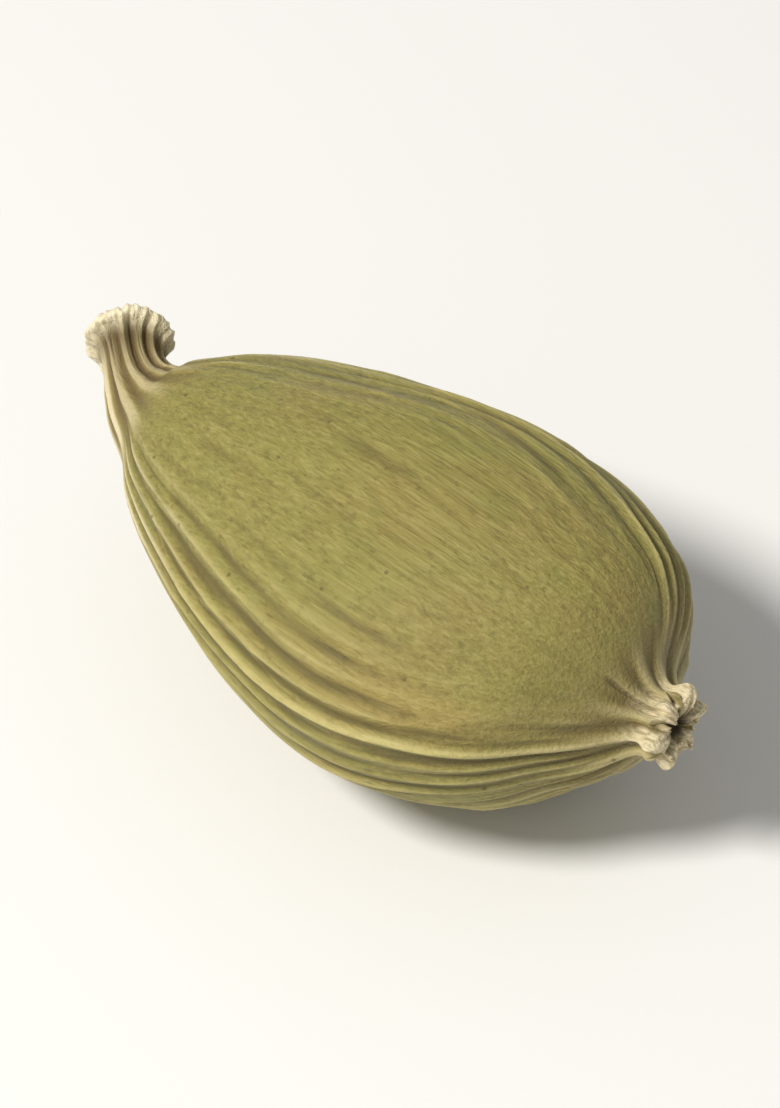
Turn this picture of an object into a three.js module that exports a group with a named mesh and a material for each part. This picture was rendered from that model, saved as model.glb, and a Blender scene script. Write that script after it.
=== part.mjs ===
// Green cardamom pod: one dried, three-sided fruit with fine ribs, lying on its side.
// It grew as a single piece, from the snapped stalk through the plump husk to the withered flower end.
// Units are millimetres, +Z is up, and +X runs from the stalk to the flower end.
import * as THREE from "three";
import { mergeVertices } from "three/addons/utils/BufferGeometryUtils.js";

const { clamp, degToRad, lerp, smoothstep } = THREE.MathUtils;

// Driving dimensions
const HUSK_RADIUS = 4.85; // at the widest, before the corners and ribs are raised
const HUSK_START = 2.9; // along the pod, where the stalk swells into the husk
const HUSK_FLATTEN = 0.95; // the husk is a little lower than it is wide
const REST_DEPTH = 0.36; // how much of the underside is pressed flat

// The stalk, snapped off and dried hollow at its end
const STALK_RADIUS = 0.72; // at its thinnest
const STALK_THIN_AT = 1.05; // along the pod
const STALK_BASE_RADIUS = 0.92; // where it starts to swell
const STALK_BASE_AT = 2;
const STALK_RIM_RADIUS = 1; // the flared end
const STALK_MOUTH_RADIUS = 0.68; // the hollow, at the rim
const STALK_PIT_RADIUS = 0.4; // the hollow, near its floor
const STALK_PIT_DEPTH = 0.95;

// The nub where the flower withered
const FLOWER_LENGTH = 1.15;
const FLOWER_WAIST_RADIUS = 0.87;
const FLOWER_WAIST = 0.4; // from the end of the husk to the waist
const FLOWER_RIM_RADIUS = 0.97;
const FLOWER_MOUTH_RADIUS = 0.36;
const FLOWER_PIT_RADIUS = 0.2;
const FLOWER_PIT_DEPTH = 0.55;

// Corners, where the three sides of the husk meet
const CORNERS = 3;
const CORNER_SHARE = 0.055; // how far a corner stands out, as a share of the radius
const CORNER_ROLL = degToRad(79); // the first corner, from straight up towards -Y
const CORNER_GATHER = 0.22; // the ribs crowd together towards the corners

// Ribs, which run the length of the husk
const RIBS_PER_SIDE = 12;
const STEPS_PER_RIB = 3; // one column of points on the crest and two in the valley
const STRONG_RIB_EVERY = 3; // these ribs run on into the stalk
const KEEL_HEIGHT = 0.26; // the rib along a corner
const STRONG_RIB_HEIGHT = 0.17;
const FINE_RIB_HEIGHT = 0.1;
const MID_SIDE_SHARE = 0.5; // the ribs are this much lower in the smooth middle of a side
const STALK_RIB_HEIGHT = 0.09;
const RIB_SWAY = 0.02; // radians that a rib wanders as it runs
const RIB_SWAY_LENGTH = 9;

// Both ends have uneven rims: the stalk snapped on a slant, and the flower tore into teeth
const STALK_SLANT = 0.3; // how far the break's low and high sides are from its middle
const SLANT_TURN = degToRad(311); // the low side, as a turn from the first corner
const FLOWER_TEETH = 6;
const FLOWER_TOOTH = 0.18;
const RIM_LIP = 0.1; // how far a rim rounds over
const RIM_MARGIN = 0.05; // the rims stop this far short of the spine's ends
const PIT_WALL = 0.65; // share of a hollow's depth that its wall takes, above the floor

// The line that the pod grew along: a bent stalk, a nearly straight husk and a tip that turns up.
const spine = new THREE.CatmullRomCurve3(
  [
    new THREE.Vector3(-9.25, 0.44, 1.58),
    new THREE.Vector3(-7.7, -0.38, 0.23),
    new THREE.Vector3(-5.8, -0.34, -0.1),
    new THREE.Vector3(0, -0.05, -0.04),
    new THREE.Vector3(5, 0.25, 0.25),
    new THREE.Vector3(9.95, 1.06, 1.15),
  ],
  false,
  "catmullrom",
);
const POD_AXIS = new THREE.Vector3(1, 0, 0);
const POD_LENGTH = spine.getLength();
const HUSK_END = POD_LENGTH - FLOWER_LENGTH;

// The husk's swell: share of its length, then share of its widest radius.
const HUSK_SWELL = [
  [0.0, 0.29],
  [0.04, 0.375],
  [0.1, 0.505],
  [0.2, 0.665],
  [0.33, 0.83],
  [0.47, 0.95],
  [0.61, 1.0],
  [0.74, 0.95],
  [0.87, 0.765],
  [0.95, 0.49],
  [1.0, 0.245],
];
const OUTLINE_STEPS = 3; // points drawn for each stretch of the outline

// The pod's outline as radius against distance along the spine, from the floor of the stalk's hollow
// out over its rim, along the husk, over the flower's rim and back in to the axis.
function podOutline() {
  const stalkRim = STALK_SLANT + RIM_MARGIN;
  const stalkLip = (STALK_MOUTH_RADIUS + STALK_RIM_RADIUS) / 2;
  const flowerRim = POD_LENGTH - FLOWER_TOOTH - RIM_MARGIN;
  const outline = new THREE.Path();
  outline.moveTo(0, stalkRim + STALK_PIT_DEPTH);
  outline.lineTo(STALK_PIT_RADIUS, stalkRim + PIT_WALL * STALK_PIT_DEPTH);
  outline.lineTo(STALK_MOUTH_RADIUS, stalkRim + RIM_LIP);
  outline.quadraticCurveTo(stalkLip, stalkRim - RIM_LIP, STALK_RIM_RADIUS, stalkRim + RIM_LIP);
  outline.splineThru([
    new THREE.Vector2(STALK_RADIUS, STALK_THIN_AT),
    new THREE.Vector2(STALK_BASE_RADIUS, STALK_BASE_AT),
    ...HUSK_SWELL.map(
      ([share, swell]) => new THREE.Vector2(swell * HUSK_RADIUS, lerp(HUSK_START, HUSK_END, share)),
    ),
    new THREE.Vector2(FLOWER_WAIST_RADIUS, HUSK_END + FLOWER_WAIST),
    new THREE.Vector2(FLOWER_RIM_RADIUS, flowerRim),
  ]);
  outline.lineTo(FLOWER_MOUTH_RADIUS, flowerRim - RIM_LIP);
  outline.lineTo(FLOWER_PIT_RADIUS, flowerRim - PIT_WALL * FLOWER_PIT_DEPTH);
  outline.lineTo(0, flowerRim - FLOWER_PIT_DEPTH);
  return outline.getPoints(OUTLINE_STEPS);
}

const COLUMNS = CORNERS * RIBS_PER_SIDE * STEPS_PER_RIB;
const COLUMNS_PER_SIDE = COLUMNS / CORNERS;
const STALK_RIBS = (CORNERS * RIBS_PER_SIDE) / STRONG_RIB_EVERY;

// How far a column of points stands out as a rib, where the smooth pod has this radius.
function ribHeight(column, radius, turn) {
  const onHusk = smoothstep(radius, 0.2 * HUSK_RADIUS, 0.5 * HUSK_RADIUS);
  const onStalk = smoothstep(radius, 0.6 * STALK_RADIUS, STALK_RADIUS) - onHusk;
  const flute = STALK_RIB_HEIGHT * onStalk * Math.cos(STALK_RIBS * turn);
  if (column % STEPS_PER_RIB !== 0) return flute;
  if (column % COLUMNS_PER_SIDE === 0) return flute + KEEL_HEIGHT * onHusk;
  const strong = (column / STEPS_PER_RIB) % STRONG_RIB_EVERY === 0;
  const height = strong ? STRONG_RIB_HEIGHT : FINE_RIB_HEIGHT;
  const nearCorner = (1 + Math.cos(CORNERS * turn)) / 2;
  return flute + height * onHusk * lerp(MID_SIDE_SHARE, 1, nearCorner);
}

// How far the rims' edges are pushed along the pod by the slant and the teeth.
function raggedEnd(along, turn) {
  const onStalkRim = 1 - smoothstep(along, STALK_SLANT, STALK_PIT_DEPTH);
  const onFlowerRim = smoothstep(along, HUSK_END + FLOWER_WAIST, POD_LENGTH - FLOWER_TOOTH);
  const slant = STALK_SLANT * Math.cos(turn - SLANT_TURN);
  const teeth = FLOWER_TOOTH * Math.cos(FLOWER_TEETH * turn);
  return slant * onStalkRim + teeth * onFlowerRim;
}

// The point of the surface on one column, where the smooth outline has this radius and place along the pod.
function surfacePoint(radius, along, column) {
  const evenTurn = (2 * Math.PI * column) / COLUMNS;
  const cornered = smoothstep(radius, 0.25 * HUSK_RADIUS, 0.65 * HUSK_RADIUS);
  const gather = (CORNER_GATHER / CORNERS) * cornered * Math.sin(CORNERS * evenTurn);
  const sway = RIB_SWAY * cornered * Math.sin((2 * Math.PI * along) / RIB_SWAY_LENGTH + 2 * evenTurn);
  const turn = evenTurn - gather + sway;
  const corner = CORNER_SHARE * cornered * Math.cos(CORNERS * turn);
  const raised = radius * (1 + corner) + ribHeight(column, radius, evenTurn);

  // The slim ends lean with the spine, and the sections of the plump husk stay square to the pod.
  const share = clamp((along + raggedEnd(along, evenTurn)) / POD_LENGTH, 0, 1);
  const upright = smoothstep(radius, STALK_RADIUS, 0.6 * HUSK_RADIUS);
  const forward = spine.getTangentAt(share).lerp(POD_AXIS, upright).normalize();
  const up = new THREE.Vector3(0, 0, 1).addScaledVector(forward, -forward.z).normalize();
  const side = new THREE.Vector3().crossVectors(forward, up);
  return spine
    .getPointAt(share)
    .addScaledVector(side, raised * Math.sin(turn + CORNER_ROLL))
    .addScaledVector(up, HUSK_FLATTEN * raised * Math.cos(turn + CORNER_ROLL));
}

// Turns the outline into a closed surface, raises the corners and ribs on it and bends it along the spine.
function podGeometry() {
  const outline = podOutline();
  const lathe = new THREE.LatheGeometry(outline, COLUMNS);
  const places = lathe.getAttribute("position");
  for (let i = 0; i < places.count; i += 1) {
    const ring = outline[i % outline.length];
    const column = Math.floor(i / outline.length) % COLUMNS;
    const point = surfacePoint(ring.x, ring.y, column);
    places.setXYZ(i, point.x, point.y, point.z);
  }
  lathe.deleteAttribute("normal");
  lathe.deleteAttribute("uv");
  pressFlat(lathe);
  standOnOrigin(lathe);
  const closed = mergeVertices(lathe);
  closed.computeVertexNormals();
  return closed;
}

// The pod lies on a small flat spot, where its lowest corner was pressed as it dried.
function pressFlat(geometry) {
  geometry.computeBoundingBox();
  const floor = geometry.boundingBox.min.z + REST_DEPTH;
  const places = geometry.getAttribute("position");
  for (let i = 0; i < places.count; i += 1) places.setZ(i, Math.max(places.getZ(i), floor));
}

// The origin is at the middle of the box that holds the pod, on the surface that it lies on.
function standOnOrigin(geometry) {
  geometry.computeBoundingBox();
  const middle = geometry.boundingBox.getCenter(new THREE.Vector3());
  geometry.translate(-middle.x, -middle.y, -geometry.boundingBox.min.z);
}

const huskMaterial = new THREE.MeshStandardMaterial({ color: 0x9f9457, roughness: 0.75, metalness: 0 });

const pod = new THREE.Mesh(podGeometry(), huskMaterial);
pod.name = "pod";

const cardamom = new THREE.Group();
cardamom.add(pod);

export default cardamom;
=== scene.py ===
# %% [markdown]
# # A dried green cardamom pod
# A cardamom pod is a small three-sided fruit: a papery husk with ribs along it, a stub of stalk at one
# end and the withered flower at the other. This lesson dresses a plain solid of the pod with a fine skin,
# torn stalk fibres and papery flower scales, and lights it like a product photograph.
# The solid is loaded first, because it fixes where the pod lies and how large it is.

# %% Load the solid pod
import math

import bpy
import numpy as np
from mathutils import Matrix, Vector
from mathutils.bvhtree import BVHTree


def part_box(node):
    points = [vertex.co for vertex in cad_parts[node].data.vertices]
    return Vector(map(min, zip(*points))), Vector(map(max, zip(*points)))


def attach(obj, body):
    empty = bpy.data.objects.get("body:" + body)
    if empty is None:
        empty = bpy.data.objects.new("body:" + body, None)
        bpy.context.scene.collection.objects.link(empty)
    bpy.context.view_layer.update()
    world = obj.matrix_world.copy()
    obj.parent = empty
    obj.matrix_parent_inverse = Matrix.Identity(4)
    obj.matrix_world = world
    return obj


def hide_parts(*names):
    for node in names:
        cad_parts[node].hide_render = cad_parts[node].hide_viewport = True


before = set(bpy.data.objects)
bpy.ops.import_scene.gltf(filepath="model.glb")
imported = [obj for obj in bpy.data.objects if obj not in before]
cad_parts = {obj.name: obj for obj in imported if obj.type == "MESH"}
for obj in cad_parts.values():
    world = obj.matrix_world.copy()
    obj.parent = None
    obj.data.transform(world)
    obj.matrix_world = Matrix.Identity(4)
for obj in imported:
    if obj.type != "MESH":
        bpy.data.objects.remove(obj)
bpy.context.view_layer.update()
solid_low, solid_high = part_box("pod")
MM = 0.001  # the shape is worked out in millimetres, and Blender's metres come last
print("solid pod, mm:", [round(side / MM, 2) for side in solid_high - solid_low])

# %% [markdown]
# ## The line that the pod grew along
# A real pod is not straight: the stalk bends away and the tip turns up. A few listed points give
# that line, and a Catmull-Rom curve joins them, because it passes through every point that it is given.
# Walking along the curve in even steps needs its length, so it is measured once, in a table.

# %% Spine
SPINE = np.array([
    (-9.15, 0.39, 1.49),  # snapped end of the stalk
    (-7.7, -0.38, 0.23),  # neck
    (-5.8, -0.34, -0.1),
    (0.0, -0.05, -0.04),  # middle of the husk
    (5.0, 0.25, 0.25),
    (9.95, 1.06, 1.15),  # flower end
])
SPINE_SAMPLES = 2000


def curve_through(points, t):
    """The smooth curve through the points: t is 0 at the first, 1 at the second and so on."""
    before_first = 2 * points[0] - points[1]
    after_last = 2 * points[-1] - points[-2]
    padded = np.vstack([before_first, points, after_last])
    start = np.clip(np.floor(t).astype(int), 0, len(points) - 2)
    part = (t - start)[:, None]
    a, b, c, d = (padded[start + step] for step in range(4))
    cubic = 3 * (b - c) + d - a
    square = 2 * a - 5 * b + 4 * c - d
    return b + 0.5 * part * ((c - a) + part * (square + part * cubic))


def run_along(line):
    """The distance from the start of a line to each of its points."""
    steps = np.linalg.norm(np.diff(line, axis=0), axis=1)
    return np.concatenate([[0.0], np.cumsum(steps)])


spine_line = curve_through(SPINE, np.linspace(0, len(SPINE) - 1, SPINE_SAMPLES))
spine_run = run_along(spine_line)
spine_heading = np.gradient(spine_line, spine_run, axis=0)
POD_LENGTH = spine_run[-1]


def spine_at(along):
    """The spine's points and directions at these distances along it."""
    place = np.stack([np.interp(along, spine_run, spine_line[:, k]) for k in range(3)], axis=-1)
    heading = np.stack([np.interp(along, spine_run, spine_heading[:, k]) for k in range(3)], axis=-1)
    return place, heading / np.linalg.norm(heading, axis=-1, keepdims=True)


print("spine length, mm:", round(POD_LENGTH, 2))

# %% [markdown]
# ## The outline
# Ignore the ribs for a moment, and the pod is a round body whose radius swells and shrinks along the
# spine. Its outline starts on the floor of the stalk's hollow, turns over the rim, runs along the husk and
# dips into the flower's hollow. It could be drawn with a curve object, but numbers are easier to bend
# later. The same curve function rounds it off, and the rings are closer together at the two fiddly ends.

# %% Outline
HUSK_RADIUS = 4.85
HUSK_START = 2.75
FLOWER_LENGTH = 1.15
FLOWER_WAIST = 0.4  # from the husk's end to the nub's waist
HUSK_END = POD_LENGTH - FLOWER_LENGTH
STALK_RIM = 0.75  # along the pod
STALK_PIT_FLOOR = 2.0
STALK_RADIUS = 0.72
FLOWER_RIM = POD_LENGTH - 0.24  # the teeth reach on from here
HUSK_SWELL = [  # share of the husk's length, share of its widest radius
    (0.0, 0.29), (0.04, 0.375), (0.1, 0.505), (0.2, 0.665), (0.33, 0.83), (0.47, 0.95),
    (0.61, 1.0), (0.74, 0.95), (0.87, 0.765), (0.95, 0.49), (1.0, 0.245),
]
STALK_OUTLINE = [  # radius, distance along the pod
    (0.0, STALK_PIT_FLOOR), (0.4, 1.56), (0.62, 0.95), (0.88, STALK_RIM), (1.13, 0.9),
    (0.84, 1.1), (STALK_RADIUS, 1.42), (0.92, 1.95),
]
FLOWER_OUTLINE = [
    (0.87, HUSK_END + FLOWER_WAIST), (0.99, FLOWER_RIM - 0.14), (0.74, FLOWER_RIM + 0.04),
    (0.32, FLOWER_RIM - 0.04), (0.18, FLOWER_RIM - 0.28), (0.0, FLOWER_RIM - 0.45),
]
HUSK_OUTLINE = [
    (swell * HUSK_RADIUS, HUSK_START + share * (HUSK_END - HUSK_START)) for share, swell in HUSK_SWELL
]
OUTLINE = np.array(STALK_OUTLINE + HUSK_OUTLINE + FLOWER_OUTLINE)
STALK_LIP = 3  # place of the stalk's rim in the outline
FLOWER_LIP = len(OUTLINE) - 4  # place of the flower's rim
RINGS = 172
OUTLINE_SAMPLES = 6000
END_REACH = 1.5  # from the stalk's start, and from the husk's end
END_DENSITY = 2.2  # how many more rings the ends get


def smoothstep(low, high, x):
    """Rises smoothly from 0 at low to 1 at high."""
    share = np.clip((x - low) / (high - low), 0, 1)
    return share * share * (3 - 2 * share)


outline_t = np.linspace(0, len(OUTLINE) - 1, OUTLINE_SAMPLES)
outline_line = curve_through(OUTLINE, outline_t)
at_stalk = 1 - smoothstep(END_REACH, HUSK_START, outline_line[:, 1])
at_flower = smoothstep(HUSK_END - END_REACH, HUSK_END, outline_line[:, 1])
spacing = 1 + END_DENSITY * np.maximum(at_stalk, at_flower)
outline_steps = np.diff(run_along(outline_line)) * spacing[1:]
outline_run = np.concatenate([[0.0], np.cumsum(outline_steps)])
ring_t = np.interp(np.linspace(0, outline_run[-1], RINGS), outline_run, outline_t)
ring_outline = curve_through(OUTLINE, ring_t)
ring_radius = np.maximum(ring_outline[:, 0], 0)[:, None]
ring_along = ring_outline[:, 1][:, None]
print("rings:", RINGS, "widest radius, mm:", round(ring_radius.max(), 2))

# %% [markdown]
# ## Corners and ribs
# The husk is three valves grown together, so its section is a rounded triangle with a keel on each corner.
# Between the keels run the veins that dried proud of the skin: a strong one after two fine ones, crowded
# towards the corners and faint in the middle of a side. Each has a sharp crest, and a thin valley runs on
# the way to the next. Strengths drawn from a seed change along each rib, so that no two are alike.

# %% Ribs
CORNERS = 3
CORNER_SHARE = 0.055
CORNER_ROLL = math.radians(79)  # first corner, from straight up towards -Y
CORNER_GATHER = 0.22
RIBS_PER_SIDE = 12
RIBS = CORNERS * RIBS_PER_SIDE
STRONG_RIB_EVERY = 3
KEEL_HEIGHT = (0.26, 0.22, 0.15)  # near side, underside, far side
STRONG_RIB_HEIGHT = 0.2
FINE_RIB_HEIGHT = 0.15
KEEL_WIDTH = 0.22  # of the rib spacing
RIB_WIDTH = 0.17
RIB_ROUND = 0.3  # how rounded a crest is
RIB_JITTER = 0.12
VALLEY_DEPTH = 0.055
VALLEY_WIDTH = 0.13
MID_SIDE_SHARE = (0.7, 0.6, 0.04)  # near flank, far side, smooth upper side
CORNER_REACH = (1.0, 1.0, 1.3)  # the higher, the closer the ribs keep to the corners
UPPER_SIDE = 2
FAR_SHARE = 0.45  # its ribs beyond the middle are this much lower
SMOOTH_FROM = (13.0, 16.0)  # along the upper side, the ribs sink between these places
SMOOTHED = 0.75  # and lose this share of their height
KEEL_RISE = (4.0, 10.0)  # along the pod, a keel rises to its full height between these places
KEEL_START = 0.6  # share of its height at the neck
RIB_KNOTS = 8  # a rib's strength changes between this many places along it
VALLEY_KNOTS = 12  # and a valley's depth between this many
RIB_STRENGTH = (0.95, 0.22)  # average and spread
RIB_LIMITS = (0.4, 1.35)
KEEL_STRENGTH = (0.85, 1.05)
VALLEY_STRENGTH = (0.6, 0.5)
VALLEY_LIMITS = (0, 1.2)
RIBS_FROM = (0.2, 0.5)  # the ribs rise between these shares of the husk's radius
FLUTES_FROM = 0.6  # share of the stalk's radius
STALK_RIB_HEIGHT = 0.09
STALK_RIBS = RIBS // STRONG_RIB_EVERY
SWAY = 0.02
SWAY_LENGTH = 9.0
COLUMNS = 576
SEED = 20

rng = np.random.default_rng(SEED)
turn_even = (np.arange(COLUMNS) / COLUMNS * 2 * np.pi)[None, :]
near_corner = (1 + np.cos(CORNERS * turn_even)) / 2
on_husk = smoothstep(*(share * HUSK_RADIUS for share in RIBS_FROM), ring_radius)
on_stalk = smoothstep(FLUTES_FROM * STALK_RADIUS, STALK_RADIUS, ring_radius) - on_husk


def ridge(away, width):
    """The section of a rib: a sharp crest, from which the dry skin sags on both sides."""
    return np.exp(RIB_ROUND - np.sqrt((away / width) ** 2 + RIB_ROUND ** 2))


def rib_relief():
    """Height of the ribs over the smooth pod, for every ring and column."""
    strength = np.clip(rng.normal(*RIB_STRENGTH, (RIB_KNOTS, RIBS)), *RIB_LIMITS)
    strength[:, ::RIBS_PER_SIDE] = rng.uniform(*KEEL_STRENGTH, (RIB_KNOTS, CORNERS))
    centre = np.arange(RIBS) + rng.uniform(-RIB_JITTER, RIB_JITTER, RIBS)
    knot = np.clip(ring_along[:, 0] / POD_LENGTH, 0, 1) * (RIB_KNOTS - 1)
    strength_along = curve_through(strength, knot)
    valley_depth = np.clip(rng.normal(*VALLEY_STRENGTH, (VALLEY_KNOTS, RIBS)), *VALLEY_LIMITS)
    valley_along = curve_through(valley_depth, knot * (VALLEY_KNOTS - 1) / (RIB_KNOTS - 1))
    relief = np.zeros((RINGS, COLUMNS))
    for rib in range(RIBS):
        keel = rib % RIBS_PER_SIDE == 0
        strong = rib % STRONG_RIB_EVERY == 0
        valve = rib // RIBS_PER_SIDE
        height = KEEL_HEIGHT[valve] if keel else STRONG_RIB_HEIGHT if strong else FINE_RIB_HEIGHT
        width = KEEL_WIDTH if keel else RIB_WIDTH
        away = turn_even * RIBS / (2 * np.pi) - (rib if keel else centre[rib])
        away = (away + RIBS / 2) % RIBS - RIBS / 2
        mid_share = MID_SIDE_SHARE[valve]
        fade = mid_share + (1 - mid_share) * near_corner ** CORNER_REACH[valve]
        if keel:
            fade = KEEL_START + (1 - KEEL_START) * smoothstep(*KEEL_RISE, ring_along)
        elif valve == UPPER_SIDE:
            fade = fade * (1 - SMOOTHED * smoothstep(*SMOOTH_FROM, ring_along))
            fade = fade * (FAR_SHARE if rib % RIBS_PER_SIDE < RIBS_PER_SIDE / 2 else 1)
        relief += height * ridge(away, width) * fade * strength_along[:, rib:rib + 1]
        beside = (away - 0.5) / VALLEY_WIDTH  # midway to the next rib
        shown = np.clip(valley_along[:, rib:rib + 1], 0, 1)
        relief -= VALLEY_DEPTH * np.exp(-beside ** 2) * fade * shown
    return relief * on_husk


rib_height = rib_relief()
print("ribs:", RIBS, "highest, mm:", round(rib_height.max(), 3))

# %% [markdown]
# ## Shrinking and wrinkling
# As the husk dried it shrank. The flower end drew together in pleats with one deep crease, the stalk was
# left fluted, the skin between the ribs shrivelled into thin veins and streaks, and the whole surface lost
# its even roundness. A sculptor would brush these in. Here each is a small sum: folded waves for the pleats,
# seeded noise drawn out along the pod for the veins and streaks, and slow waves for the dents.

# %% Pleats, veins and dents
PLEATS = 12
PLEAT_DEPTH = 0.05  # of the radius
PLEAT_REACH = (-1.3, 0.1)  # from the husk's end, the pleats deepen between these places
PLEAT_SHARE = (0.5, 1.4)  # shallowest and deepest
PLEAT_SMOOTHED = 0.8  # how much of them the upper side loses
CREASE_TURN = math.radians(304)
CREASE_REACH = (-0.65, -0.35)
CREASE_WIDTH = 0.05
CREASE_DEPTH = 0.2
VEINS = [(9, 52, 0.034), (13, 84, 0.024)]  # knots along, knots around, height
VEIN_WIDTH = 0.3  # share of the noise's swing
VEIN_PATCHES = (6, 14)  # knots along and around
VEIN_SMOOTHED = 0.6
STREAKS = [(12, 120, 0.014), (24, 180, 0.01)]
END_STREAKS = [(5, 40, 0.03), (7, 84, 0.03), (9, 150, 0.015)]
WRINKLES = 14
WRINKLE_DEPTH = 0.034
WRINKLE_TURN = (math.radians(250), math.radians(328))
WRINKLE_PLACE = (HUSK_START + 1.5, HUSK_START + 8.5)
WRINKLE_LENGTH = (0.5, 1.4)
WRINKLE_WIDTH = (0.025, 0.05)
WRINKLE_SHARE = (0.4, 1.0)
DENTS = 6
DENT_DEPTH = 0.016
DENT_LENGTH = (7.0, 14.0)
DENT_WAVES = (2, 6)  # around the pod
LIP_FADE = 0.85  # the flutes die out on the stalk's lip

upper_middle = (1 - near_corner) * (turn_even > UPPER_SIDE * 2 * np.pi / CORNERS)
on_stalk_end = 1 - smoothstep(1.0, HUSK_START, ring_along)
on_flower_end = smoothstep(HUSK_END - 0.3, HUSK_END + 0.3, ring_along)
on_ends = np.maximum(on_stalk_end, on_flower_end) * smoothstep(0.15, 0.45, ring_radius)


def round_gap(turn_here):
    """The angle from a direction, by the shorter way round the pod."""
    return (turn_even - turn_here + np.pi) % (2 * np.pi) - np.pi


def pleat_relief():
    """Pleats that draw the husk together at the flower end: round crests and sharp creases."""
    from_end = ring_along - HUSK_END
    depth = PLEAT_DEPTH * ring_radius * smoothstep(*PLEAT_REACH, from_end)
    depth = depth * (1 - PLEAT_SMOOTHED * upper_middle ** 0.5)
    share = rng.uniform(*PLEAT_SHARE, PLEATS)
    which = np.round(turn_even / (2 * np.pi) * PLEATS - 0.5).astype(int) % PLEATS
    fold = 2 * np.abs(np.cos(PLEATS / 2 * turn_even)) - 1.3
    crease = np.exp(-((round_gap(CREASE_TURN) / CREASE_WIDTH) ** 2))
    return depth * fold * share[which] - CREASE_DEPTH * crease * smoothstep(*CREASE_REACH, from_end)


def drawn_noise(knots_along, knots_around):
    """Smooth seeded noise between about -1 and 1, which joins up around the pod."""
    knots = rng.uniform(-1, 1, (knots_along, knots_around))
    by_ring = curve_through(knots, np.clip(ring_along[:, 0] / POD_LENGTH, 0, 1) * (knots_along - 1))
    wrapped = np.concatenate([by_ring[:, -2:], by_ring, by_ring[:, :2]], axis=1)
    return curve_through(wrapped.T, turn_even[0] / (2 * np.pi) * knots_around + 2).T


def vein_relief():
    """Thin raised veins that part and join: they follow the lines where a drawn-out noise is zero."""
    relief = np.zeros((RINGS, COLUMNS))
    for along, around, height in VEINS:
        line = np.clip(1 - np.abs(drawn_noise(along, around)) / VEIN_WIDTH, 0, 1)
        presence = np.clip(0.5 + drawn_noise(*VEIN_PATCHES), 0, 1)
        relief += height * line * line * (3 - 2 * line) * presence
    return relief * on_husk * (1 - VEIN_SMOOTHED * upper_middle)


def streak_relief():
    """Fine streaks along the husk, in two sizes, and coarser ones on the torn ends."""
    fine = sum(height * drawn_noise(along, around) for along, around, height in STREAKS)
    coarse = sum(height * drawn_noise(along, around) for along, around, height in END_STREAKS)
    return on_husk * fine + on_ends * coarse


def wrinkle_relief():
    """Short shallow furrows on the upper side, where the skin sank as it dried."""
    relief = np.zeros((RINGS, COLUMNS))
    for _ in range(WRINKLES):
        gap = round_gap(rng.uniform(*WRINKLE_TURN))
        from_place = ring_along - rng.uniform(*WRINKLE_PLACE)
        length = rng.uniform(*WRINKLE_LENGTH)
        width = rng.uniform(*WRINKLE_WIDTH)
        furrow = np.exp(-((gap / width) ** 2) - (from_place / length) ** 2)
        relief -= furrow * rng.uniform(*WRINKLE_SHARE)
    return WRINKLE_DEPTH * relief * on_husk


def dent_relief():
    """Slow waves that take the evenness off the husk."""
    relief = np.zeros((RINGS, COLUMNS))
    for _ in range(DENTS):
        waves = rng.integers(*DENT_WAVES)
        length = rng.uniform(*DENT_LENGTH)
        phase = rng.uniform(0, 2 * np.pi)
        relief += DENT_DEPTH * np.sin(waves * turn_even + 2 * np.pi * ring_along / length + phase)
    return relief * on_husk


pleats = pleat_relief()
veins = vein_relief()
streaks = streak_relief()
wrinkles = wrinkle_relief()
dents = dent_relief()
flute_waves = np.cos(STALK_RIBS * turn_even + 1.2 * drawn_noise(4, 7))
flute_waves = flute_waves * (0.7 + 0.5 * drawn_noise(4, 15)) + 0.45 * drawn_noise(5, 52)
on_lip = np.exp(-(((ring_t - STALK_LIP - 0.8) / 1.15) ** 4))[:, None]
flute_waves = flute_waves * (1 - LIP_FADE * on_lip)
flutes = STALK_RIB_HEIGHT * on_stalk * flute_waves
detail = rib_height + pleats + veins + streaks + wrinkles + flutes
print("relief, mm:", round(detail.min(), 3), "to", round(detail.max(), 3))

# %% [markdown]
# ## Ragged ends
# The stalk snapped on a slant, so its rim is lower on one side and chipped, and the flower tore, so its rim
# has uneven teeth. Pushing the points near each rim along the pod by an amount that changes around the rim
# gives both.

# %% Ragged rims
STALK_SLANT = 0.7
SLANT_TURN = math.radians(119)  # the break is lowest on this side
FLOWER_TOOTH = 0.15
FLOWER_TEETH = 6
FLOWER_LOBE = 0.11  # how far a tooth bulges
TOOTH_SHARE = (0.6, 1.3)  # shortest and longest
CHIP_WAVES = (5, 9, 14, 23)
STALK_CHIP = 0.012
FLOWER_CHIP = 0.02
LOBE_CHIP = 0.012
STALK_TEARS = [(11, 0.08), (70, 0.035)]  # knots around, height
FLOWER_TEARS = [(60, 0.07)]
TEAR_KNOTS = 3  # along the pod


def chipped(size):
    """Small seeded waves around a rim."""
    phases = rng.uniform(0, 2 * np.pi, len(CHIP_WAVES))
    return size * sum(np.sin(n * turn_even + p) for n, p in zip(CHIP_WAVES, phases))


def torn(tears):
    """Seeded tears around a rim."""
    return sum(height * drawn_noise(TEAR_KNOTS, around) for around, height in tears)


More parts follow.
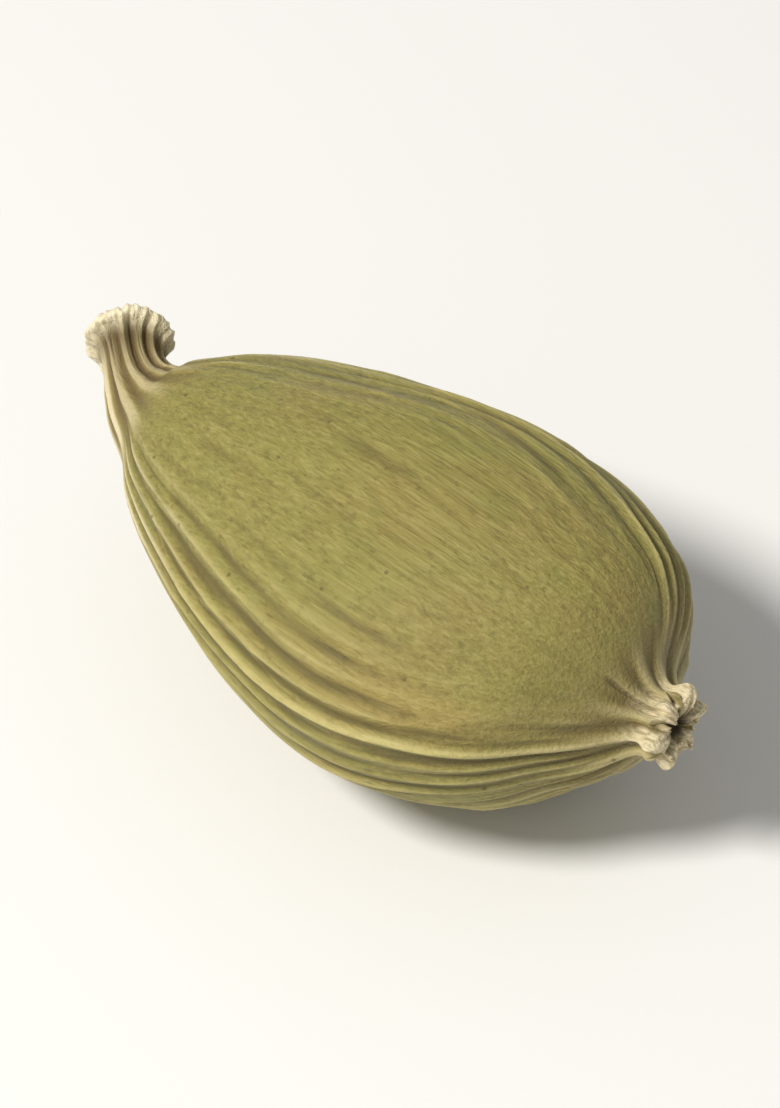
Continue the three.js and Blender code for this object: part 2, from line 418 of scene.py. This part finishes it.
tooth_length = rng.uniform(*TOOTH_SHARE, FLOWER_TEETH)
tooth = np.round(turn_even / (2 * np.pi) * FLOWER_TEETH).astype(int) % FLOWER_TEETH
on_stalk_rim = 1 - smoothstep(STALK_RIM + 0.1, STALK_PIT_FLOOR, ring_along)
on_flower_rim = smoothstep(HUSK_END + FLOWER_WAIST, POD_LENGTH - FLOWER_TOOTH, ring_along)
slant = STALK_SLANT * np.cos(turn_even - SLANT_TURN)
stalk_push = slant + chipped(STALK_CHIP) + torn(STALK_TEARS)
tooth_fold = 2 * np.abs(np.cos(FLOWER_TEETH / 2 * turn_even)) - 1.27
teeth = tooth_fold * tooth_length[tooth]
flower_push = FLOWER_TOOTH * teeth + chipped(FLOWER_CHIP) + torn(FLOWER_TEARS)
ragged = stalk_push * on_stalk_rim + flower_push * on_flower_rim
lobes = (FLOWER_LOBE * teeth + chipped(LOBE_CHIP)) * on_flower_rim
print("rims ragged by, mm:", round(ragged.min(), 2), "to", round(ragged.max(), 2))

# %% [markdown]
# ## Bending the skin onto the spine
# Every ring and column now has a radius and a place along the spine. Two directions square to the spine
# turn them into points in space. The slim ends lean with the spine, while the plump husk's rings stay square
# to the pod, because leaning rings as wide as these would cut through each other at the neck. Last, the
# underside is pressed flat where the pod lies.

# %% Skin points
HUSK_FLATTEN = 0.95
POD_AXIS = np.array([1.0, 0.0, 0.0])
UP = np.array([0.0, 0.0, 1.0])
REST_DEPTH = 0.36


def unit(vectors):
    """The vectors at length 1."""
    return vectors / np.linalg.norm(vectors, axis=-1, keepdims=True)


def sections(along, radius):
    """Centre, forward, side and up directions of the pod's sections."""
    centre, heading = spine_at(along)
    upright = smoothstep(STALK_RADIUS, 0.6 * HUSK_RADIUS, radius)[..., None]
    forward = unit(heading * (1 - upright) + POD_AXIS * upright)
    up = unit(UP - forward * forward[..., 2:3])
    return centre, forward, np.cross(forward, up), up


cornered = smoothstep(0.25 * HUSK_RADIUS, 0.65 * HUSK_RADIUS, ring_radius)
gather = CORNER_GATHER / CORNERS * cornered * np.sin(CORNERS * turn_even)
sway = SWAY * cornered * np.sin(2 * np.pi * ring_along / SWAY_LENGTH + 2 * turn_even)
turn = turn_even - gather + sway
corner = CORNER_SHARE * cornered * np.cos(CORNERS * turn)
raised = ring_radius * (1 + corner) + (detail + dents + lobes) * smoothstep(0, 0.4, ring_radius)
along_skin = np.clip(ring_along + ragged, 0, POD_LENGTH)
centre, forward, side, up = sections(along_skin, np.broadcast_to(ring_radius, raised.shape))
across = (raised * np.sin(turn + CORNER_ROLL))[..., None]
upward = (HUSK_FLATTEN * raised * np.cos(turn + CORNER_ROLL))[..., None]
skin = centre + side * across + up * upward
skin[..., 2] = np.maximum(skin[..., 2], skin[..., 2].min() + REST_DEPTH)
skin_low = skin.reshape(-1, 3).min(axis=0)
skin_high = skin.reshape(-1, 3).max(axis=0)
solid_middle = (np.array(solid_low) + np.array(solid_high)) / 2 / MM
to_frame = solid_middle - (skin_low + skin_high) / 2
to_frame[0] = solid_high.x / MM - skin_high[0]  # the two agree at the flower end
to_frame[2] = solid_low.z / MM - skin_low[2]
skin = skin + to_frame
print("skin size, mm:", (skin_high - skin_low).round(2))

# %% [markdown]
# ## The husk mesh
# The grid of points becomes one closed mesh: quads between neighbouring rings, and a fan of triangles on
# the floor of each hollow. Next to its points the mesh stores what the finish will need to know, such as
# how far a point stands proud or how near it is to the stalk. Storing that on the points is surer than
# guessing it again inside the material.

# %% Husk mesh
RIB_COLUMNS = COLUMNS // RIBS
CREST_HEIGHT = 0.1  # a point this proud counts as a full crest
GROOVE_FROM = 0.008  # a groove starts this far below the skin around it
GROOVE_DEPTH = 0.045  # and is at its darkest this far below that
FLUTE_SHADE = 1.3
EDGE_TURN = math.radians(8)  # pale ribs run from the neck along the near keel
EDGE_WIDTH = 0.45
PATCH_TURN = math.radians(344)  # a golden patch lies over the near keel
PATCH_WIDTH = 0.2
PATCH_PLACE = 15.2
PATCH_LENGTH = 2.2


def even_out(values, reach):
    """Values averaged over neighbouring columns, around the pod."""
    return sum(np.roll(values, step, axis=1) for step in range(-reach, reach + 1)) / (2 * reach + 1)


def add_values(mesh, name, values):
    """Stores a number or a vector on every point of a mesh."""
    kind = "FLOAT_VECTOR" if values.ndim == 2 else "FLOAT"
    field = "vector" if values.ndim == 2 else "value"
    layer = mesh.attributes.new(name, kind, "POINT")
    layer.data.foreach_set(field, values.astype(np.float32).ravel())


def new_piece(name, points, faces, material=None):
    """A smooth-shaded mesh object from points in millimetres."""
    mesh = bpy.data.meshes.new(name)
    mesh.from_pydata((np.asarray(points) * MM).tolist(), [], faces)
    mesh.shade_smooth()
    piece = bpy.data.objects.new(name, mesh)
    bpy.context.scene.collection.objects.link(piece)
    if material:
        mesh.materials.append(material)
    return piece


def grid_to_list(values):
    """One value for each mesh point: the two poles, then the rings between them."""
    full = np.broadcast_to(values, (RINGS, COLUMNS) + values.shape[2:])
    inner = full[1:-1].reshape((-1,) + values.shape[2:])
    return np.concatenate([full[:1, 0], full[-1:, 0], inner])


def skin_faces():
    """Quads between the rings and a fan at each pole, facing out."""
    index = 2 + np.arange((RINGS - 2) * COLUMNS).reshape(RINGS - 2, COLUMNS)
    beside = np.roll(index, -1, axis=1)
    quads = np.stack([index[:-1], beside[:-1], beside[1:], index[1:]], axis=-1).reshape(-1, 4).tolist()
    start_fan = [(0, b, a) for a, b in zip(index[0].tolist(), beside[0].tolist())]
    end_fan = [(1, a, b) for a, b in zip(index[-1].tolist(), beside[-1].tolist())]
    return quads + start_fan + end_fan


husk = new_piece("husk", grid_to_list(skin), skin_faces())
proud = detail - even_out(detail, RIB_COLUMNS)
in_stalk_pit = 1 - smoothstep(STALK_LIP - 1.5, STALK_LIP - 0.6, ring_t)[:, None]
in_flower_pit = smoothstep(FLOWER_LIP + 0.5, FLOWER_LIP + 1.5, ring_t)[:, None]
straight = np.stack(np.broadcast_arrays(
    ring_along, raised * np.cos(turn), raised * np.sin(turn)), axis=-1)
rib_crest = np.clip(proud / CREST_HEIGHT, 0, 1) ** 1.2 * (1 - 0.5 * upper_middle)
# the grooves are painted darker: partly their own colour, partly painted shade
rib_groove = np.clip((-proud - GROOVE_FROM) / GROOVE_DEPTH, 0, 1)
near_neck = 1 - smoothstep(HUSK_START + 1.5, HUSK_START + 6.0, ring_along)
near_edge = np.exp(-((round_gap(EDGE_TURN) / EDGE_WIDTH) ** 2))
round_patch = (round_gap(PATCH_TURN) / PATCH_WIDTH) ** 2
along_patch = ((ring_along - PATCH_PLACE) / PATCH_LENGTH) ** 2
husk_values = {
    "crest": np.maximum(rib_crest, on_stalk * np.clip(FLUTE_SHADE * flute_waves, 0, 1)),
    # groove: the darker grooves of ribs and flutes, partly their own colour and partly painted shade
    "groove": np.maximum(rib_groove, on_stalk * np.clip(-FLUTE_SHADE * flute_waves, 0, 1)),
    "stalk": 1 - smoothstep(HUSK_START - 1.2, HUSK_START + 1.6, ring_along),
    "runner": near_neck * (0.35 + 0.65 * near_edge),
    "tip": smoothstep(HUSK_END - 2.6, HUSK_END + 0.3, ring_along),
    # pit: the hollows of stalk and flower, painted dark brown with painted shade
    "pit": np.maximum(in_stalk_pit, in_flower_pit),
    # rim: the stalk's lip, pale cream brightened with a painted highlight
    "rim": on_lip,
    # under: a band of painted shadow under the stalk's flared lip
    "under": np.exp(-(((ring_t - STALK_LIP - 2.5) / 0.8) ** 2))[:, None],
    "nub": smoothstep(HUSK_END - 0.2, FLOWER_RIM - 0.2, ring_along) * np.clip(0.65 + tooth_fold, 0, 1),
    "warm": np.exp(-round_patch - along_patch),
    "grain": straight,
}
for name, values in husk_values.items():
    add_values(husk.data, name, grid_to_list(values))
print("husk faces:", len(husk.data.polygons))

# %% [markdown]
# ## Sums with sockets
# A finish is mostly arithmetic on masks. Placing a Math node for each step is slow to write and hard to
# read, so this small class wraps a socket and lets Python's own operators add the nodes. Every other kind
# of node comes from its one method, which sets the node up first and then feeds its sockets.

# %% Socket class
class Wire:
    """A socket in a finish's nodes. Sums with numbers and other wires add Math nodes."""

    def __init__(self, tree, socket=None):
        self.tree = tree
        self.socket = socket

    def node(self, kind, settings=None, sockets=None, output=0):
        """Adds any node: first its settings, then the values or links of its sockets."""
        made = self.tree.nodes.new(kind)
        for name, value in (settings or {}).items():
            setattr(made, name, value)
        for name, value in (sockets or {}).items():
            socket = Wire.find(made.inputs, name)
            if isinstance(value, Wire):
                self.tree.links.new(value.socket, socket)
            else:
                socket.default_value = value
        return Wire(self.tree, Wire.find(made.outputs, output)) if made.outputs else None

    @staticmethod
    def find(sockets, key):
        """A node's socket by its place, its identifier or its name."""
        if isinstance(key, int):
            return sockets[key]
        return next(socket for socket in sockets if key in (socket.identifier, socket.name))

    def sum(self, operation, first, second):
        """One Math node on two numbers or wires."""
        return self.node("ShaderNodeMath", {"operation": operation}, {0: first, 1: second})

    def __add__(self, other):
        return self.sum("ADD", self, other)

    def __radd__(self, other):
        return self.sum("ADD", other, self)

    def __sub__(self, other):
        return self.sum("SUBTRACT", self, other)

    def __rsub__(self, other):
        return self.sum("SUBTRACT", other, self)

    def __mul__(self, other):
        return self.sum("MULTIPLY", self, other)

    def __rmul__(self, other):
        return self.sum("MULTIPLY", other, self)

    def between(self, low, high):
        """Rises smoothly from 0 at low to 1 at high."""
        sockets = {"Value": self, "From Min": low, "From Max": high}
        return self.node("ShaderNodeMapRange", {"interpolation_type": "SMOOTHSTEP"}, sockets)

    def stored(self, name, output="Fac"):
        """What the mesh keeps on its points under this name."""
        return self.node("ShaderNodeAttribute", {"attribute_name": name}, output=output)

    def stretched(self, x, y, z):
        """This vector, scaled along each axis."""
        return self.node("ShaderNodeVectorMath", {"operation": "MULTIPLY"}, {0: self, 1: (x, y, z)})

    def noise(self, scale, detail=2.0, roughness=0.5):
        """Cloudy noise over this vector, between 0 and 1 and about 0.5 on average."""
        sockets = {"Vector": self, "Scale": scale, "Detail": detail, "Roughness": roughness}
        return self.node("ShaderNodeTexNoise", None, sockets, "Fac")

    def painted(self, mask, colour):
        """This colour, covered by another where the mask is 1."""
        sockets = {"Factor_Float": mask, "A_Color": self, "B_Color": colour}
        return self.node("ShaderNodeMix", {"data_type": "RGBA"}, sockets, "Result_Color")


def start_finish(name):
    """A new material with no nodes yet, and a loose wire to grow them from."""
    material = bpy.data.materials.new(name)
    material.use_nodes = True
    material.node_tree.nodes.clear()
    return material, Wire(material.node_tree)


def end_finish(wire, sockets):
    """Closes a finish with a Principled shader that has these sockets."""
    shader = wire.node("ShaderNodeBsdfPrincipled", None, sockets)
    wire.node("ShaderNodeOutputMaterial", None, {"Surface": shader})


print("operators:", [name for name in vars(Wire) if name.startswith("__r")])

# %% [markdown]
# ## The husk's finish
# Dried husk is matte and papery: olive with tan blotches, streaked along by its fibres, straw-coloured on
# the crests that rubbed against other pods. The grooves are darker, partly in their own colour and partly
# with painted shade. The hollows are dark brown with painted shade, and the stalk's lip carries a painted
# highlight with a painted shadow under it. The patterns are noises in the pod's own straightened space, in
# millimetres, so that streaks follow the ribs round the bend.

# %% Husk finish
OLIVE = (0.262, 0.232, 0.055, 1)
TAN = (0.268, 0.213, 0.053, 1)
GREEN = (0.225, 0.218, 0.049, 1)
GOLD = (0.36, 0.265, 0.075, 1)
STRAW = (0.52, 0.45, 0.17, 1)
# dark olive of the fibres and mottling, and painted shade in the grooves
DARK_OLIVE_AND_SHADE = (0.095, 0.072, 0.018, 1)
NECK_STRAW = (0.29, 0.215, 0.082, 1)
# brown of the neck's flute grooves with painted shade, and the painted shadow under the stalk's lip
NECK_BROWN_AND_SHADOW = (0.115, 0.075, 0.026, 1)
TIP_BROWN = (0.21, 0.155, 0.062, 1)
CREAM = (0.74, 0.64, 0.41, 1)
# pale cream of the stalk's lip, brightened as a painted highlight
LIP_CREAM_AND_HIGHLIGHT = (0.86, 0.77, 0.54, 1)
# dark brown of the hollows, darkened further with painted shade
PIT_BROWN_AND_SHADE = (0.045, 0.026, 0.011, 1)
FLECK = (0.09, 0.062, 0.02, 1)

husk_finish, start = start_finish("dried husk")
grain = start.stored("grain", "Vector")
blotches = grain.stretched(0.6, 1, 1).noise(0.42, 3).between(0.42, 0.62)
clouds = grain.stretched(0.7, 1, 1).noise(0.9, 4, 0.6)
strands = grain.stretched(0.1, 1, 1).noise(4.0, 3, 0.6)
fibres = grain.stretched(0.055, 1, 1).noise(11.0, 3, 0.6)
mottling = grain.stretched(0.6, 1, 1).noise(5.5, 4, 0.65)
crest = start.stored("crest")
groove = start.stored("groove")
stalk = start.stored("stalk")
runner = start.stored("runner")
tip = start.stored("tip")
pit = start.stored("pit")
rim = start.stored("rim")
nub = start.stored("nub")
warm = start.stored("warm")
under = start.stored("under")

cells = {"Vector": grain, "Scale": 1.5, "Randomness": 1.0}
fleck_distance = start.node("ShaderNodeTexVoronoi", None, cells, "Distance")
flecks = (1 - fleck_distance.between(0.05, 0.13)) * clouds.between(0.48, 0.6)

colour = start.node("ShaderNodeMix", {"data_type": "RGBA"},
                    {"Factor_Float": blotches * 0.8, "A_Color": OLIVE, "B_Color": TAN}, "Result_Color")
colour = colour.painted(clouds.between(0.5, 0.72) * 0.6, GREEN)
colour = colour.painted(warm * (0.35 + 0.6 * clouds), GOLD)
colour = colour.painted(strands.between(0.5, 0.72) * 0.1, STRAW)
colour = colour.painted(fibres.between(0.48, 0.7) * 0.26, STRAW)
colour = colour.painted((1 - fibres.between(0.3, 0.5)) * 0.28, DARK_OLIVE_AND_SHADE)
colour = colour.painted((1 - mottling.between(0.3, 0.48)) * 0.35, DARK_OLIVE_AND_SHADE)
colour = colour.painted(crest * (0.55 + 0.6 * mottling), STRAW)
# painted shade: the grooves darker, partly in their own darker colour
colour = colour.painted(groove * (0.55 + 0.4 * fibres), DARK_OLIVE_AND_SHADE)
colour = colour.painted(stalk * (0.45 + 0.5 * fibres), NECK_STRAW)
# painted shade: the neck's flute grooves browner, partly in their own brown
colour = colour.painted(stalk * groove * 0.95, NECK_BROWN_AND_SHADOW)
colour = colour.painted(runner * crest.between(0.0, 0.7), CREAM)
colour = colour.painted(tip * (0.2 + 0.5 * mottling), TIP_BROWN)
colour = colour.painted(tip * crest * 0.2, CREAM)
colour = colour.painted(flecks * 0.7, FLECK)
colour = colour.painted(nub * (0.4 + 0.7 * fibres.between(0.35, 0.6)), CREAM)
# painted shade: the hollows of stalk and flower nearly black, over their dark brown
colour = colour.painted(pit * 0.92, PIT_BROWN_AND_SHADE)
# painted shadow: a brown band under the stalk's flared lip
colour = colour.painted(under * (0.45 + 0.4 * fibres), NECK_BROWN_AND_SHADOW)
# painted highlight: the stalk's lip brightened cream, over its own pale colour
colour = colour.painted(rim * (0.75 + 0.4 * fibres.between(0.35, 0.6)), LIP_CREAM_AND_HIGHLIGHT)

FIBRE_BUMP = 0.11 * MM
relief = fibres * 0.5 + strands * 0.25 + mottling * 0.35
bump = start.node("ShaderNodeBump", None, {"Height": relief, "Distance": FIBRE_BUMP, "Strength": 1.0})
end_finish(start, {
    "Base Color": colour,
    "Roughness": 0.74 - 0.2 * mottling - 0.1 * crest,
    "Normal": bump,
    "Specular IOR Level": 0.4,
    "Sheen Weight": 0.06,
    "Sheen Roughness": 0.5,
})
husk.data.materials.append(husk_finish)
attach(husk, "root")
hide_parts("pod")
print("husk finish nodes:", len(husk_finish.node_tree.nodes))

# %% [markdown]
# ## Papery flower scales
# The withered flower left torn, papery scales round the tip. Each is a small strip that is rooted in the
# nub, stands on its lip and ends in a jagged tear. A particle system could scatter copies, but a dozen or so
# strips drawn one by one can each have their own length, twist and tear.

# %% Flower scales
SCALES = 13
SCALE_STEPS = 9
SCALE_ACROSS = 7
SCALE_LENGTH = (0.3, 0.5)
SCALE_WIDTH = (0.14, 0.3)
SCALE_THICKNESS = 0.06
SCALE_ROOT = FLOWER_RIM - 0.3
SCALE_RADIUS = (0.5, 0.82)  # from the spine
SCALE_SPLAY = (-0.5, 0.4)  # radians, inwards and outwards
SCALE_TEAR = 0.12
SCALE_TWIST = 0.2


def round_spine(along, radius, turn_here):
    """Points at a distance from the spine, in the frame of the loaded solid."""
    middle, _, to_side, to_up = sections(along, radius)
    sideways = (radius * np.sin(turn_here + CORNER_ROLL))[..., None]
    upwards = (HUSK_FLATTEN * radius * np.cos(turn_here + CORNER_ROLL))[..., None]
    beyond = np.maximum(along - POD_LENGTH, 0) + np.minimum(along, 0)
    _, heading = spine_at(np.clip(along, 0, POD_LENGTH))
    return middle + to_side * sideways + to_up * upwards + heading * beyond[..., None] + to_frame


def strip_faces(rows, columns, first):
    """Quads of a strip of points, numbered from first."""
    faces = []
    for row in range(rows - 1):
        for column in range(columns - 1):
            here = first + row * columns + column
            faces.append((here, here + 1, here + columns + 1, here + columns))
    return faces


def flower_scale(number):
    """Points of one torn scale, root first."""
    s = np.linspace(0, 1, SCALE_STEPS)[:, None]
    w = np.linspace(-1, 1, SCALE_ACROSS)[None, :]
    length = rng.uniform(*SCALE_LENGTH)
    width = rng.uniform(*SCALE_WIDTH)
    splay = rng.uniform(*SCALE_SPLAY)
    tear = rng.uniform(-SCALE_TEAR, SCALE_TEAR, (1, SCALE_ACROSS))
    turn_here = 2 * np.pi * (number + rng.uniform(-0.3, 0.3)) / SCALES
    taper = (1 - 0.45 * s ** 2) * (0.7 + 0.5 * np.sin(np.pi * np.clip(s + 0.1, 0, 1)))
    along = SCALE_ROOT + (s + tear * s ** 3) * length * np.cos(splay * s)
    radius = rng.uniform(*SCALE_RADIUS) + s * length * np.sin(splay * s) - 0.1 * w ** 2 * s
    turned = turn_here + w * width * taper / 0.9 + rng.uniform(-SCALE_TWIST, SCALE_TWIST) * s
    return round_spine(*np.broadcast_arrays(along, radius, turned)).reshape(-1, 3)


scale_points = []
scale_faces = []
scale_share = []
for number in range(SCALES):
    scale_faces += strip_faces(SCALE_STEPS, SCALE_ACROSS, len(scale_points) * SCALE_STEPS * SCALE_ACROSS)
    scale_points.append(flower_scale(number))
    scale_share.append(np.repeat(np.linspace(0, 1, SCALE_STEPS), SCALE_ACROSS))
flower_scales = new_piece("flower_scales", np.concatenate(scale_points), scale_faces)
add_values(flower_scales.data, "share", np.concatenate(scale_share))
paper = flower_scales.modifiers.new("paper thickness", "SOLIDIFY")
paper.thickness = SCALE_THICKNESS * MM
paper.offset = 0
print("flower scales:", SCALES, "faces:", len(scale_faces))

# %% [markdown]
# ## Stalk fibres
# Where the stalk snapped, its bundles of fibres stand in the hollow as short bristles, rooted below its
# floor. Each is a thin tapered tube. Hair curves would render as well, but tubes are plain meshes that any
# program can open.

# %% Stalk fibres
FIBRES = 26
FIBRE_SIDES = 6
FIBRE_STEPS = 9
FIBRE_RADIUS = (0.025, 0.055)
FIBRE_REACH = 0.55  # the outermost fibres, from the spine
FIBRE_TOP = 0.62  # along the pod, where the outermost fibres end
FIBRE_ROOT_DEPTH = 0.2  # below the floor of the stalk's hollow


def stalk_fibre():
    """Rings of one bristle, from its root in the stalk to its broken tip."""
    s = np.linspace(0, 1, FIBRE_STEPS)
    around = np.linspace(0, 2 * np.pi, FIBRE_SIDES, endpoint=False)
    turn_here = rng.uniform(0, 2 * np.pi)
    root = np.sqrt(rng.uniform(0.1, 1.0)) * FIBRE_REACH
    top = FIBRE_TOP + 0.4 * (1 - root / FIBRE_REACH) + rng.uniform(-0.12, 0.12)
    bottom = STALK_PIT_FLOOR + FIBRE_ROOT_DEPTH
    thick = rng.uniform(*FIBRE_RADIUS) * (1 - 0.55 * s)
    radius = root + rng.uniform(-0.05, 0.1) * s ** 2
    line = round_spine(bottom + (top - bottom) * s, radius, turn_here + rng.uniform(-0.25, 0.25) * s)
    heading = unit(np.gradient(line, axis=0))
    first = unit(np.cross(heading, UP))
    second = np.cross(heading, first)
    ring = first[:, None] * np.cos(around)[:, None] + second[:, None] * np.sin(around)[:, None]
    return line[:, None] + ring * thick[:, None, None]


def tube_faces(rows, columns, first):
    """Faces of a closed tube, numbered from first."""
    index = first + np.arange(rows * columns).reshape(rows, columns)
    beside = np.roll(index, -1, axis=1)
    quads = np.stack([index[:-1], beside[:-1], beside[1:], index[1:]], axis=-1).reshape(-1, 4).tolist()
    return quads + [index[0][::-1].tolist(), index[-1].tolist()]


fibre_points = []
fibre_faces = []
fibre_share = []
for number in range(FIBRES):
    fibre_faces += tube_faces(FIBRE_STEPS, FIBRE_SIDES, number * FIBRE_STEPS * FIBRE_SIDES)
    fibre_points.append(stalk_fibre().reshape(-1, 3))
    fibre_share.append(np.repeat(np.linspace(0, 1, FIBRE_STEPS), FIBRE_SIDES))
stalk_fibres = new_piece("stalk_fibres", np.concatenate(fibre_points), fibre_faces)
add_values(stalk_fibres.data, "share", np.concatenate(fibre_share))
print("stalk fibres:", FIBRES, "faces:", len(fibre_faces))

# %% [markdown]
# ## Torn straw
# The scales and the bristles are the same dry stuff as the husk without its green: pale straw at the torn
# ends, darker brown towards the roots. One finish serves both.

# %% Straw finish
STRAW_BUMP = 0.02 * MM

straw_finish, start = start_finish("torn straw")
place = start.node("ShaderNodeTexCoord", output="Object")
streaks = place.stretched(400, 1600, 1600).noise(4.0, 3, 0.6)
share = start.stored("share")
colour = start.node("ShaderNodeMix", {"data_type": "RGBA"},
                    {"Factor_Float": share.between(0.15, 0.95), "A_Color": TIP_BROWN, "B_Color": CREAM},
                    "Result_Color")
colour = colour.painted((1 - streaks.between(0.3, 0.6)) * 0.5, NECK_STRAW)
bump = start.node("ShaderNodeBump", None, {"Height": streaks, "Distance": STRAW_BUMP, "Strength": 0.8})
end_finish(start, {
    "Base Color": colour,
    "Roughness": 0.6 + 0.25 * streaks,
    "Normal": bump,
    "Specular IOR Level": 0.3,
})
for piece in (flower_scales, stalk_fibres):
    piece.data.materials.append(straw_finish)
    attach(piece, "root")
print("straw finish nodes:", len(straw_finish.node_tree.nodes))

# %% [markdown]
# ## Floor and light
# A pale matte floor and one large soft lamp on the upper left give the soft shadows of a product
# photograph, and a white sky fills them. A small pod needs only a small set.

# %% Floor and light
FLOOR_SIZE = 3.0  # metres
FLOOR_COLOUR = (0.86, 0.86, 0.85, 1)
SKY = (1.0, 0.99, 0.97, 1)
SKY_STRENGTH = 0.36

floor_mesh = bpy.data.meshes.new("floor")
half = FLOOR_SIZE / 2
floor_corners = [(-half, -half, 0), (half, -half, 0), (half, half, 0), (-half, half, 0)]
floor_mesh.from_pydata(floor_corners, [], [(0, 1, 2, 3)])
floor = bpy.data.objects.new("floor", floor_mesh)
bpy.context.scene.collection.objects.link(floor)
floor_finish, start = start_finish("pale floor")
dust = start.node("ShaderNodeTexCoord", output="Object").noise(900.0, 3)
end_finish(start, {"Base Color": FLOOR_COLOUR, "Roughness": 0.85 + 0.1 * dust, "Specular IOR Level": 0.2})
floor_mesh.materials.append(floor_finish)

world = bpy.data.worlds.new("white sky")
world.use_nodes = True
sky = world.node_tree.nodes["Background"]
sky.inputs["Color"].default_value = SKY
sky.inputs["Strength"].default_value = SKY_STRENGTH
bpy.context.scene.world = world
bpy.context.scene.view_settings.view_transform = "Standard"


def looking(azimuth, elevation):
    """The direction from the pod to a place around it, in degrees: azimuth 0 is towards -Y."""
    a = math.radians(azimuth)
    e = math.radians(elevation)
    return Vector((math.sin(a) * math.cos(e), -math.cos(a) * math.cos(e), math.sin(e)))


def soft_lamp(name, azimuth, elevation, distance, size, watts, colour):
    """A round lamp that faces the pod and doesn't show itself."""
    data = bpy.data.lights.new(name, "AREA")
    data.shape = "DISK"
    data.size = size
    data.energy = watts
    data.color = colour
    lamp = bpy.data.objects.new(name, data)
    towards = looking(azimuth, elevation)
    lamp.location = towards * distance
    lamp.rotation_mode = "QUATERNION"
    lamp.rotation_quaternion = towards.to_track_quat("Z", "Y")
    lamp.visible_camera = False
    bpy.context.scene.collection.objects.link(lamp)
    return lamp


key_lamp = soft_lamp(
    "key lamp", azimuth=-14, elevation=56, distance=0.3, size=0.07, watts=0.85, colour=(1.0, 0.97, 0.92))
print("lamps:", key_lamp.name, "sky strength:", SKY_STRENGTH)

# %% [markdown]
# ## Camera
# The photograph looks down on the pod from its front right. A long lens from far away keeps the pod's
# sides from spreading. The camera aims at the middle of what it sees, so the pod sits in the middle.

# %% Camera
VIEW_AZIMUTH = 46.2
VIEW_ELEVATION = 50.0
LENS = 250.0
SENSOR = 36.0  # along the taller side of the picture
PICTURE = (780, 1108)
POD_FILL = 0.8  # of the picture's width

back = looking(VIEW_AZIMUTH, VIEW_ELEVATION)
camera_turn = back.to_track_quat("Z", "Y")
right = np.array(camera_turn @ Vector((1, 0, 0)))
top = np.array(camera_turn @ Vector((0, 1, 0)))
seen = grid_to_list(skin) * MM
seen_right = seen @ right
seen_top = seen @ top
wide = seen_right.max() - seen_right.min()
picture_width = wide / POD_FILL
distance = picture_width * LENS / (SENSOR * PICTURE[0] / PICTURE[1])
aim = right * (seen_right.max() + seen_right.min()) / 2 + top * (seen_top.max() + seen_top.min()) / 2
depth = float(np.mean(seen @ np.array(back)))
camera_data = bpy.data.cameras.new("camera")
camera_data.lens = LENS
camera_data.sensor_width = SENSOR
camera_data.clip_start = 0.01
camera = bpy.data.objects.new("camera", camera_data)
camera.location = Vector(aim) + back * (depth + distance)
camera.rotation_mode = "QUATERNION"
camera.rotation_quaternion = camera_turn
bpy.context.scene.collection.objects.link(camera)
bpy.context.scene.camera = camera
print("camera distance, mm:", round(distance / MM))

# %% [markdown]
# ## Measuring the result
# The fine skin has to lie close to the plain solid, or the two would be different parts. Only the stalk's
# break is steeper on the skin. The nearest point of the solid is found for a sample of the skin's points.

# %% Fit to the solid
SAMPLE_EVERY = 37

solid_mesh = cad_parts["pod"].data
solid_faces = [tuple(face.vertices) for face in solid_mesh.polygons]
solid_tree = BVHTree.FromPolygons([vertex.co for vertex in solid_mesh.vertices], solid_faces)
gaps = [solid_tree.find_nearest(point)[3] / MM for point in seen[::SAMPLE_EVERY]]
print("skin to solid, mm: mean", round(float(np.mean(gaps)), 3), "most", round(max(gaps), 3))
